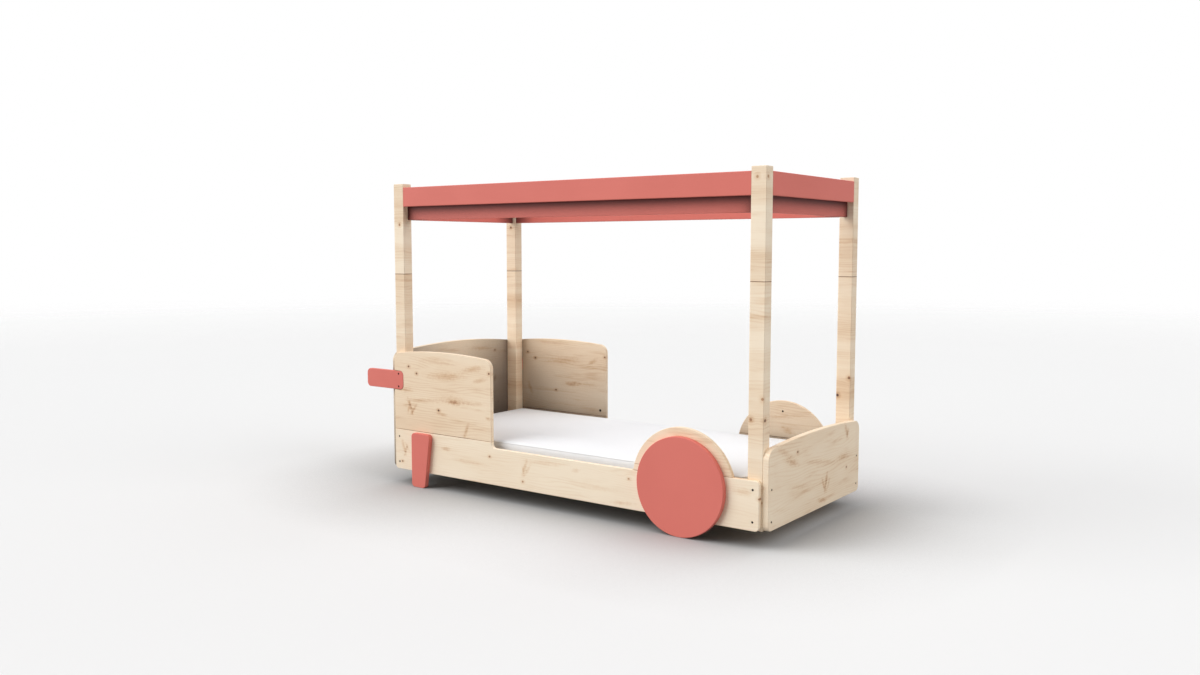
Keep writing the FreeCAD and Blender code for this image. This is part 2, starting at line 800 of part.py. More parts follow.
length = cell("mattress_length")
width = cell("mattress_width")
bay_middle = bay_start + bay_length / 2
across = cushion_section("mattress_across", "YZ_Plane", width, length)
place(across, bay_middle - length / 2, zero, mattress_bottom)
along = cushion_section("mattress_along", "XZ_Plane", length, width)
place(along, bay_middle, width / 2, mattress_bottom)
plan = doc.addObject("PartDesign::Body", "mattress_plan")
plan_sketch = new_sketch(plan, "mattress_plan_outline", "XY_Plane")
plan_corners = [(-length / 2, -width / 2), (length / 2, -width / 2),
                (length / 2, width / 2), (-length / 2, width / 2)]
outline(plan_sketch, plan_corners)
plan_solid = pad(plan, plan_sketch, cell("mattress_height") + cell("mattress_crown"))
fillet(plan, plan_solid, runs_along("Z"), cell("mattress_corner"))
place(plan, bay_middle, zero, mattress_bottom)
mattress = doc.addObject("Part::MultiCommon", "mattress_form")
mattress.Shapes = [across, along, plan]
keep(mattress, "mattress")

# ---------------------------------------------------- fasteners, one node each
for group, row in fixings.items():
    bundle = doc.addObject("Part::Compound", f"{group}_bundle")
    bundle.Links = [fixing.solid for fixing in row]
    keep(bundle, group)

# ---------------------------------------------------------- checks and output
doc.recompute()
for thing in doc.Objects:
    faults = [state for state in thing.State if state in ("Invalid", "Error")]
    if faults:
        raise RuntimeError(f"{thing.Name} ({thing.Label}): {faults}")
for piece in nodes:
    if piece.Shape.isNull() or not piece.Shape.isValid():
        raise RuntimeError(f"{piece.Label} has no valid shape")

os.makedirs("parts", exist_ok=True)
for piece in nodes:
    piece.Shape.exportStep(os.path.join("parts", f"{piece.Label}.step"))
    box = piece.Shape.BoundBox
    print(f"{piece.Label:28s} solids {len(piece.Shape.Solids):3d}  volume "
          f"{piece.Shape.Volume / 1000:10.1f} cm3  box "
          f"{box.XLength:7.1f} {box.YLength:7.1f} {box.ZLength:7.1f}")
whole = FreeCAD.BoundBox()
for piece in nodes:
    whole.add(piece.Shape.BoundBox)
print(f"nodes {len(nodes)}  whole box X {whole.XMin:.1f} {whole.XMax:.1f}  "
      f"Y {whole.YMin:.1f} {whole.YMax:.1f}  Z {whole.ZMin:.1f} {whole.ZMax:.1f}")
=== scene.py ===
"""The looks of a child's bed in the shape of a hand cart, in a pale studio."""
import logging
import math
from collections.abc import Iterable, Mapping, Sequence
from dataclasses import dataclass, field
from enum import Enum

import bmesh
import bpy
from mathutils import Matrix, Vector
from mathutils.bvhtree import BVHTree


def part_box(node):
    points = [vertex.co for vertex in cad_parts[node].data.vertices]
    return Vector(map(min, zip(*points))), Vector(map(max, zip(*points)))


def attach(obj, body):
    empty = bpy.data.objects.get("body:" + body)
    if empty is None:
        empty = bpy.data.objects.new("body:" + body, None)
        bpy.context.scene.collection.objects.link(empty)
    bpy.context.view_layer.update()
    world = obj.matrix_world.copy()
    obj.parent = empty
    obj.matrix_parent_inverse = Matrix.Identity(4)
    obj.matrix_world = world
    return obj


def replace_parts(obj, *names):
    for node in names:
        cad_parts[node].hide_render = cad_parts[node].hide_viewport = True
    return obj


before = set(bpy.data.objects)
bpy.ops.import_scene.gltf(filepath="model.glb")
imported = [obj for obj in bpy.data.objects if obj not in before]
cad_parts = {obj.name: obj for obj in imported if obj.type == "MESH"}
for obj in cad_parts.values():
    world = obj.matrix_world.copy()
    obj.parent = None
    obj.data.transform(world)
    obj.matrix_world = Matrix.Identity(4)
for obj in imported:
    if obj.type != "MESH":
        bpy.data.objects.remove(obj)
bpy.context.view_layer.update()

MM = 0.001
WELD = 0.01 * MM

Triple = tuple[float, float, float]
Colour = tuple[float, float, float, float]
Spot = tuple[float, float, float, float]


class Axis(Enum):
    """A direction of the bed: X from head to foot, Y to its left, Z up."""

    X = 0
    Y = 1
    Z = 2

    def along(self, size: float, others: float) -> Triple:
        """A triple with one number along this axis and another on the two others."""
        return tuple(size if axis is self else others for axis in Axis)


class Side(Enum):
    """A side of the bed, with the sign of its Y."""

    RIGHT = -1
    LEFT = 1

    @property
    def word(self) -> str:
        """The side's name as the CAD nodes spell it."""
        return self.name.lower()


def paint(red: int, green: int, blue: int) -> Colour:
    """A screen colour from 0 to 255 as the linear colour that a shader takes.

    Args:
        red: The red part.
        green: The green part.
        blue: The blue part.

    Returns:
        Linear red, green and blue, and an alpha of 1.
    """
    def linear(part: int) -> float:
        """One part, from the screen's curve to linear light."""
        share = part / 255
        return share / 12.92 if share <= 0.04045 else ((share + 0.055) / 1.055) ** 2.4

    return (linear(red), linear(green), linear(blue), 1.0)


# --------------------------------------------------------------------------- shader maths
class Signal:
    """A socket of a shader graph that answers to Python's operators."""

    def __init__(self, graph: "Graph", socket: bpy.types.NodeSocket) -> None:
        """Keep the socket and the graph that it is in."""
        self.graph = graph
        self.socket = socket

    @property
    def is_vector(self) -> bool:
        """Whether the socket carries a vector or a colour."""
        return self.socket.type in {"VECTOR", "RGBA"}

    def output(self, name: str) -> "Signal":
        """Another output of the node that made this signal."""
        return Signal(self.graph, self.socket.node.outputs[name])

    def __add__(self, other: "Wire") -> "Signal":
        """The sum."""
        return self.graph.combine("ADD", self, other)

    __radd__ = __add__

    def __sub__(self, other: "Wire") -> "Signal":
        """The difference."""
        return self.graph.combine("SUBTRACT", self, other)

    def __rsub__(self, other: "Wire") -> "Signal":
        """The difference, from the other."""
        return self.graph.combine("SUBTRACT", other, self)

    def __mul__(self, other: "Wire") -> "Signal":
        """The product."""
        return self.graph.combine("MULTIPLY", self, other)

    __rmul__ = __mul__

    def __truediv__(self, other: "Wire") -> "Signal":
        """The quotient."""
        return self.graph.combine("DIVIDE", self, other)

    def __pow__(self, other: "Wire") -> "Signal":
        """The power."""
        return self.graph.combine("POWER", self, other)

    def sine(self) -> "Signal":
        """The sine."""
        return self.graph.combine("SINE", self)

    def exponential(self) -> "Signal":
        """The number e to this power."""
        return self.graph.combine("EXPONENT", self)

    def absolute(self) -> "Signal":
        """The value without its sign."""
        return self.graph.combine("ABSOLUTE", self)

    def larger(self, other: "Wire") -> "Signal":
        """The larger of the two."""
        return self.graph.combine("MAXIMUM", self, other)

    def length(self) -> "Signal":
        """The length of a vector."""
        return self.graph.combine("LENGTH", self).output("Value")

    def rising(self, low: float, high: float) -> "Signal":
        """A smooth step from 0 at low to 1 at high."""
        return self.graph.node("ShaderNodeMapRange", {"interpolation_type": "SMOOTHSTEP"},
                               {"Value": self, "From Min": low, "From Max": high})


Wire = Signal | float | Triple | Colour


@dataclass(frozen=True)
class Graph:
    """The node tree of a material or a world."""

    tree: bpy.types.NodeTree

    def node(self, kind: str, settings: Mapping[str, object] | None = None,
             inputs: Mapping[str | int, Wire] | None = None, output: int = 0) -> Signal | None:
        """Add a node.

        Args:
            kind: The node's type.
            settings: Its own settings, set first; "stops" are a colour ramp's.
            inputs: The values or signals of its sockets, by name or number.
            output: The number of the output to hand back.

        Returns:
            The chosen output, from which Signal.output reaches the others, or None where
            the node has none.
        """
        node = self.tree.nodes.new(kind)
        for name, value in (settings or {}).items():
            if name == "stops":
                self._set_stops(node.color_ramp, value)
            else:
                setattr(node, name, value)
        for name, value in (inputs or {}).items():
            if isinstance(value, Signal):
                self.tree.links.new(value.socket, node.inputs[name])
            else:
                node.inputs[name].default_value = value
        return Signal(self, node.outputs[output]) if node.outputs else None

    @staticmethod
    def _set_stops(ramp: bpy.types.ColorRamp, stops: Sequence[tuple[float, Colour]]) -> None:
        """Give a colour ramp its places and colours."""
        while len(ramp.elements) < len(stops):
            ramp.elements.new(1.0)
        for element, (position, colour) in zip(ramp.elements, stops):
            element.position = position
            element.color = colour

    def combine(self, operation: str, *sides: Wire) -> Signal:
        """One step of arithmetic, on vectors if any side is one.

        Args:
            operation: The operation of a Math or Vector Math node.
            sides: The values that it takes, in order.

        Returns:
            The result.
        """
        vector = any(isinstance(side, tuple) or isinstance(side, Signal) and side.is_vector
                     for side in sides)
        if vector:
            sides = [(side,) * 3 if isinstance(side, (int, float)) else side for side in sides]
        return self.node("ShaderNodeVectorMath" if vector else "ShaderNodeMath",
                         {"operation": operation}, dict(enumerate(sides)))

    def place(self) -> Signal:
        """The point of the surface, in metres, in the bed's own frame."""
        return self.node("ShaderNodeTexCoord").output("Object")

    def noise(self, place: Signal, scales: Triple, shift: float, detail: float = 2.0) -> Signal:
        """Smooth noise from 0 to 1.

        Args:
            place: Where on the surface.
            scales: How many features there are to a metre, along each axis.
            shift: A seed: how far the noise is moved.
            detail: How many finer layers it has.

        Returns:
            The noise.
        """
        return self.node("ShaderNodeTexNoise", None,
                         {"Vector": place * scales + (shift, shift * 1.7, shift * 2.3),
                          "Scale": 1.0, "Detail": detail, "Roughness": 0.55})

    def openness(self, reach: float) -> Signal:
        """How open the space over the surface is, from 0 in a corner to 1, within a reach."""
        return self.node("ShaderNodeAmbientOcclusion", {"samples": 12}, {"Distance": reach}, output=1)

    def ramp(self, value: Signal, stops: Sequence[tuple[float, Colour]]) -> Signal:
        """A colour for each value from 0 to 1."""
        return self.node("ShaderNodeValToRGB", {"stops": stops}, {"Fac": value})

    def mix(self, factor: Wire, first: Wire, second: Wire) -> Signal:
        """A colour between two."""
        return self.node("ShaderNodeMix", {"data_type": "RGBA"},
                         {0: factor, 6: first, 7: second}, output=2)

    def bump(self, height: Signal, depth: float) -> Signal:
        """A normal from a height of 0 to 1 that stands for a depth in metres."""
        return self.node("ShaderNodeBump", None, {"Height": height, "Distance": depth})

    def surface(self, **sockets: Wire) -> None:
        """End the tree in a principled surface; a name's underscores are its spaces."""
        inputs = {name.replace("_", " "): value for name, value in sockets.items()}
        shader = self.node("ShaderNodeBsdfPrincipled", None, inputs)
        self.node("ShaderNodeOutputMaterial", None, {"Surface": shader})


# ------------------------------------------------------------------------------- finishes
@dataclass(frozen=True)
class Finish:
    """What a piece is finished in: a name, and a way to draw itself as a material."""

    name: str

    def draw(self, graph: Graph) -> None:
        """Draw the finish's nodes; each finish has its own."""
        raise NotImplementedError(self.name)

    def material(self) -> bpy.types.Material:
        """The finish's material, made the first time that it is asked for."""
        known = bpy.data.materials.get(self.name)
        if known:
            return known
        made = bpy.data.materials.new(self.name)
        made.use_nodes = True
        made.node_tree.nodes.clear()
        self.draw(Graph(made.node_tree))
        return made


@dataclass(frozen=True)
class Mark:
    """Something that shows round a point of the timber: its middle and its half sizes."""

    at: Triple
    halves: Triple
    strength: float = 0.3

    def distance(self, graph: Graph, place: Signal) -> Signal:
        """How far out of its middle a point is, in its own half sizes."""
        return ((place - self.at) * tuple(1 / half for half in self.halves)).length()

    def darkness(self, distance: Signal, ragged: Signal, feather: Signal) -> Signal:
        """How dark the mark is; each kind has its own way.

        Args:
            distance: How far out of its middle a point is.
            ragged: Coarse noise that frays its edge.
            feather: Fine noise drawn out along the grain.

        Returns:
            What it adds to the timber's tone.
        """
        raise NotImplementedError(type(self).__name__)


@dataclass(frozen=True)
class Knot(Mark):
    """A small round knot with a dark heart, which the grain flows round."""

    strength: float = 0.5

    def darkness(self, distance: Signal, ragged: Signal, feather: Signal) -> Signal:
        """A dark heart in a wider brown ring."""
        frayed = distance + ragged * 0.6 - 0.3
        return (1 - frayed.rising(0.55, 1.25)) * self.strength + (1 - frayed.rising(0.9, 3.6)) * 0.2

    def bend(self, graph: Graph, place: Signal, distance: Signal, across: Axis) -> Signal:
        """How far the grain is pushed aside, across itself."""
        near = (distance * distance * -0.12).exponential()
        aside = graph.node("ShaderNodeSeparateXYZ", None, {"Vector": place - self.at})
        return aside.output(across.name) * near * 0.85


@dataclass(frozen=True)
class Flare(Mark):
    """A feathered streak of darker wood, leaning by some degrees about an axis."""

    through: Axis = Axis.Y
    lean: float = 0.0

    def distance(self, graph: Graph, place: Signal) -> Signal:
        """How far out of its middle a point is, in its own half sizes, once it is turned upright."""
        turned = graph.node("ShaderNodeVectorRotate",
                            {"rotation_type": f"{self.through.name}_AXIS"},
                            {"Vector": place, "Center": self.at, "Angle": math.radians(self.lean)})
        return super().distance(graph, turned)

    def darkness(self, distance: Signal, ragged: Signal, feather: Signal) -> Signal:
        """A soft stroke with a frayed edge."""
        frayed = distance + ragged * 1.1 + feather * 1.3 - 0.9
        return (1 - frayed.rising(0.2, 1.7)) * self.strength


@dataclass(frozen=True)
class Joint(Mark):
    """The thin dark line where two pieces of timber meet."""

    strength: float = 0.75

    def darkness(self, distance: Signal, ragged: Signal, feather: Signal) -> Signal:
        """An even line."""
        return (1 - distance.rising(0.5, 1.4)) * self.strength


@dataclass(frozen=True)
class NotchShade(Mark):
    """The dark narrow gap round a board that is let into this one.

    halves are the board's own half sizes, seen from the side, corner the radius of its
    corners and width how far the shade reaches from its edge.
    """

    strength: float = 0.7
    corner: float = 24 * MM
    width: float = 2.2 * MM

    def distance(self, graph: Graph, place: Signal) -> Signal:
        """How far from the board's outline a point is, in widths of the shade."""
        core = tuple(max(half - self.corner, 0.0) for half in self.halves)
        beyond = ((place - self.at).absolute() - core).larger((0.0, 0.0, 0.0))
        flat = beyond * (1.0, 0.0, 1.0)
        return (flat.length() - self.corner).absolute() / self.width

    def darkness(self, distance: Signal, ragged: Signal, feather: Signal) -> Signal:
        """A line that fades outward."""
        return (1 - distance.rising(0.2, 1.3)) * self.strength


@dataclass(frozen=True)
class BoardFace:
    """An upright face of a board: the axis it is square to, and its place along that axis."""

    through: Axis
    level: float
    pin: float = 5 * MM

    def spot(self, along: float, up: float, out: float) -> Triple:
        """A triple from numbers along the face, up it and out of it."""
        return (out, along, up) if self.through is Axis.X else (along, out, up)

    def marks(self, pins: Sequence[tuple[float, float]],
              flares: Sequence[tuple[float, ...]]) -> tuple[Mark, ...]:
        """The marks of the wood.

        Args:
            pins: The small knots, each along the face and up.
            flares: The feathers, each along, up, half length, half height, lean and strength.

        Returns:
            The marks.
        """
        knots = [Knot(self.spot(along, up, self.level), self.spot(self.pin * 1.3, self.pin, 1.0))
                 for along, up in pins]
        feathers = [Flare(self.spot(along, up, self.level), self.spot(long, high, 1.0), strength,
                          self.through, lean)
                    for along, up, long, high, lean, strength in flares]
        return (*knots, *feathers)


@dataclass(frozen=True)
class PaleTimber(Finish):
    """Pale timber under a clear matt lacquer.

    slow are the ways along which its figure hardly changes, across the one that its growth
    rings follow each other along, marks what interrupts the grain, streaks the strength of
    its long darker streaks, bands that of the pale and dark zones that follow each other
    across, and depth how dark it is as a whole.  ring_wander is how far the rings stray in
    metres, ring_tone, patch_tone and fibre_tone how strongly the rings, the wide patches and
    the fibre show, and relief how deep the fibre is.  corner_shade is painted shade: the
    colour that the timber is darkened towards where other boards stand within corner_reach
    of it, as ambient occlusion finds them, and corner_power how far out of the corner that
    painted shade is seen, 0 for nowhere.
    """

    slow: tuple[Axis, ...] = (Axis.X,)
    across: Axis = Axis.Z
    marks: tuple[Mark, ...] = ()
    streaks: float = 0.3
    bands: float = 0.0
    depth: float = 0.16
    seed: float = 0.0
    ring_pitch: float = 13 * MM
    ring_wander: float = 0.11
    ring_tone: float = 0.13
    patch_tone: float = 0.5
    fibre_tone: float = 0.2
    relief: float = 0.12 * MM
    # The power, reach and colour of the shade painted into corners.
    corner_power: float = 0.0
    corner_reach: float = 0.5
    corner_shade: Colour = paint(104, 92, 82)
    tones: tuple[tuple[float, Colour], ...] = (
        (0.0, paint(255, 238, 213)), (0.25, paint(244, 220, 190)), (0.5, paint(224, 189, 152)),
        (0.75, paint(182, 137, 102)), (1.0, paint(84, 54, 39)))

    def scales(self, slow: float, fast: float) -> Triple:
        """Features to a metre along each axis: few along the slow ones, many along the others."""
        return tuple(slow if axis in self.slow else fast for axis in Axis)

    def interrupt(self, graph: Graph, place: Signal, row: Signal) -> tuple[Signal, Wire]:
        """Draw the marks.

        Args:
            graph: The material's tree.
            place: Where on the surface.
            row: The place across the grain.

        Returns:
            The place across the grain, bent round the knots, and how dark the marks are.
        """
        ragged = graph.noise(place, (70.0, 70.0, 70.0), self.seed + 3.1, 2.0)
        feather = graph.noise(place, self.scales(22.0, 260.0), self.seed + 4.3, 2.0)
        dark: Wire = 0.0
        for mark in self.marks:
            distance = mark.distance(graph, place)
            dark = mark.darkness(distance, ragged, feather) + dark
            if isinstance(mark, Knot):
                row = row - mark.bend(graph, place, distance, self.across)
        return row, dark

    def draw(self, graph: Graph) -> None:
        """Draw the growth rings, the fibre, the streaks and the marks."""
        place = graph.place()
        axes = graph.node("ShaderNodeSeparateXYZ", None, {"Vector": place})
        row, dark = self.interrupt(graph, place, axes.output(self.across.name))
        wander = graph.noise(place, self.scales(1.6, 7.0), self.seed, 2.0)
        rings = ((row + wander * self.ring_wander) * (2 * math.pi / self.ring_pitch)).sine() * 0.5 + 0.5
        faint = graph.noise(place, self.scales(3.0, 14.0), self.seed + 5.0)
        line = rings ** 3 * faint.rising(0.38, 0.66)
        streak = graph.noise(place, self.scales(3.4, 30.0), self.seed + 9.0, 4.0)
        wide = graph.noise(place, self.scales(1.3, 5.0), self.seed + 13.0)
        fibre = graph.noise(place, self.scales(14.0, 520.0), self.seed + 17.0)
        tone = (dark + line * self.ring_tone + streak.rising(0.52, 0.78) * self.streaks
                + (wide - 0.5) * self.patch_tone + (fibre - 0.5) * self.fibre_tone + self.depth)
        if self.bands:
            band = graph.noise(place, self.scales(0.4, 11.0), self.seed + 21.0, 4.0)
            tone = tone + (band - 0.5) * self.bands
        colour = graph.ramp(tone, self.tones)
        # Painted shade: the colour darkens towards corner_shade where other parts stand close, as ambient
        # occlusion finds them.
        if self.corner_power:
            colour = graph.mix(graph.openness(self.corner_reach) ** self.corner_power,
                               self.corner_shade, colour)
        graph.surface(
            Base_Color=colour,
            Roughness=0.5 + line * 0.1 + (fibre - 0.5) * 0.12,
            Normal=graph.bump(fibre - line * 0.4 - dark * 0.5, self.relief),
            Specular_IOR_Level=0.35)


@dataclass(frozen=True)
class MattPaint(Finish):
    """Sprayed matt paint on timber, whose fibre still shows through faintly."""

    colour: Colour = paint(227, 124, 112)
    shade: Colour = paint(220, 118, 106)
    # The colour, reach and power of the shade painted into corners; no reach means none.
    corner_shade: Colour = paint(92, 44, 40)
    grain: Axis = Axis.X
    relief: float = 0.08 * MM
    corner_reach: float = 0.0
    corner_power: float = 6.0

    def draw(self, graph: Graph) -> None:
        """Draw the paint's slight clouding, its stipple, the fibre under it and painted shade in its
        corners.
        """
        place = graph.place()
        cloud = graph.noise(place, (3.0, 3.0, 3.0), 4.0)
        stipple = graph.noise(place, (900.0, 900.0, 900.0), 8.0, 1.0)
        fibre = graph.noise(place, self.grain.along(12.0, 420.0), 12.0)
        colour = graph.mix(cloud.rising(0.3, 0.75) * 0.6 + (fibre - 0.5) * 0.5, self.colour, self.shade)
        # Painted shade: where corner_reach is set, the colour darkens towards corner_shade in corners that
        # ambient occlusion finds.
        if self.corner_reach:
            colour = graph.mix(graph.openness(self.corner_reach) ** self.corner_power,
                               self.corner_shade, colour)
        graph.surface(
            Base_Color=colour,
            Roughness=0.52 + stipple * 0.08 + (fibre - 0.5) * 0.1,
            Normal=graph.bump(fibre * 0.7 + stipple * 0.3, self.relief),
            Specular_IOR_Level=0.25)


@dataclass(frozen=True)
class Steel(Finish):
    """Steel, blackened or plated, with the marks of rolling and handling."""

    colour: Colour = paint(22, 18, 16)
    worn: Colour = paint(52, 45, 40)
    roughness: float = 0.5
    relief: float = 0.02 * MM

    def draw(self, graph: Graph) -> None:
        """Draw the film's patches and the fine scratches."""
        place = graph.place()
        patch = graph.noise(place, (260.0, 260.0, 260.0), 2.0, 3.0)
        scratch = graph.noise(place, (90.0, 3000.0, 900.0), 6.0)
        graph.surface(
            Base_Color=graph.mix(patch.rising(0.35, 0.75), self.colour, self.worn),
            Metallic=1.0,
            Roughness=self.roughness + patch * 0.12 + (scratch - 0.5) * 0.15,
            Normal=graph.bump(scratch, self.relief))


@dataclass(frozen=True)
class WovenCover(Finish):
    """White cotton twill over foam."""

    colour: Colour = paint(245, 246, 248)
    shade: Colour = paint(238, 240, 243)
    thread: float = 1.6 * MM
    slub_shift: float = 0.3 * MM
    relief: float = 0.25 * MM

    def draw(self, graph: Graph) -> None:
        """Draw the threads, their slubs and the cloth's soft unevenness."""
        place = graph.place()
        slub = graph.noise(place, (240.0, 240.0, 240.0), 3.0)
        parts = graph.node("ShaderNodeSeparateXYZ", None, {"Vector": place + slub * self.slub_shift})
        turn = 2 * math.pi / self.thread
        warp = (parts.output("X") * turn).sine()
        weft = ((parts.output("Y") + parts.output("Z")) * turn).sine()
        twill = ((parts.output("X") + parts.output("Y") + parts.output("Z")) * (turn / 2)).sine()
        weave = warp * weft * 0.35 + twill * 0.15 + 0.5
        cloud = graph.noise(place, (7.0, 7.0, 7.0), 7.0, 3.0)
        graph.surface(
            Base_Color=graph.mix(cloud * 0.5 + (1 - weave) * 0.4 + (slub - 0.5) * 0.3,
                                 self.colour, self.shade),
            Roughness=0.86 + (weave - 0.5) * 0.08,
            Normal=graph.bump(weave * 0.7 + slub * 0.3, self.relief),
            Specular_IOR_Level=0.2,
            Sheen_Weight=0.15)


# ------------------------------------------------------------------------- pieces of the bed
def dress(names: Iterable[str], finish: Finish) -> None:
    """Give CAD nodes a finish.

    Args:
        names: The nodes' names.
        finish: The finish for all of them.
    """
    for name in names:
        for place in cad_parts[name].material_slots:
            place.material = finish.material()
        logging.info("%s: %s", name, finish.name)


def link(name: str, mesh: bpy.types.Mesh, finish: Finish, body: str) -> bpy.types.Object:
    """Put a new piece into the scene, on its body.

    Args:
        name: The piece's name.
        mesh: Its mesh, in the bed's own frame.
        finish: Its finish.
        body: The CAD body that it rides on.

    Returns:
        The new object.
    """
    piece = bpy.data.objects.new(name, mesh)
    bpy.context.scene.collection.objects.link(piece)
    mesh.materials.clear()
    mesh.materials.append(finish.material())
    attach(piece, body)
    logging.info("%s: %d faces, %s", name, len(mesh.polygons), finish.name)
    return piece


@dataclass(frozen=True)
class Posts:
    """The four posts, each in a lower and an upper length, with a few knots near their corners.

    depth is how dark a post is as a whole, and depths that of the ones unlike the others.
    knots gives each post's: how far each is from the post's lowest corner along the bed
    and across it, its level and how dark it is.
    """

    bands: float = 0.95
    depth: float = 0.22
    depths: Mapping[str, float] = field(default_factory=lambda: {"foot_right": 0.1})
    knot_radius: float = 7 * MM
    joint_width: float = 1.6 * MM
    knots: Mapping[str, tuple[Spot, ...]] = field(default_factory=lambda: {
        "foot_right": ((0.012, 0.0, 0.536, 0.34), (0.064, 0.0, 0.624, 0.4), (0.028, 0.0, 1.524, 0.36),
                       (0.070, 0.014, 0.536, 0.6), (0.070, 0.014, 1.524, 0.4),
                       (0.064, 0.0, 0.196, 0.4)),
        "foot_left": ((0.008, 0.0, 0.536, 0.45), (0.064, 0.0, 0.624, 0.4)),
        "head_right": ((0.040, 0.0, 1.357, 0.5),),
        "head_left": ((0.036, 0.0, 1.357, 0.5),)})

    def finish(self, post: str, part: str, seed: float) -> PaleTimber:
        """The finish of one length of one post.

        Args:
            post: The post: its end and side.
            part: Its lower or upper length.
            seed: A seed for its figure.

        Returns:
            The finish.
        """
        low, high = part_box(f"post_{post}_{part}")
        size = self.knot_radius
        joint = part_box(f"post_{post}_lower")[1].z
        marks = [Knot((low.x + along, low.y + across, level), (size, size, size), strength)
                 for along, across, level, strength in self.knots[post] if low.z < level < high.z]
        marks.append(Joint((low.x, low.y, joint), (1.0, 1.0, self.joint_width)))
        return PaleTimber(f"timber_post_{post}_{part}", slow=(Axis.X, Axis.Y), marks=tuple(marks),
                          streaks=0.22, bands=self.bands,
                          depth=self.depths.get(post, self.depth), seed=seed)

    def dress(self) -> None:
        """Finish every length of post, each with its own figure."""
        for number, post in enumerate(self.knots):
            for shift, part in enumerate(("lower", "upper")):
                dress([f"post_{post}_{part}"], self.finish(post, part, 10.0 + 5 * number + 2 * shift))


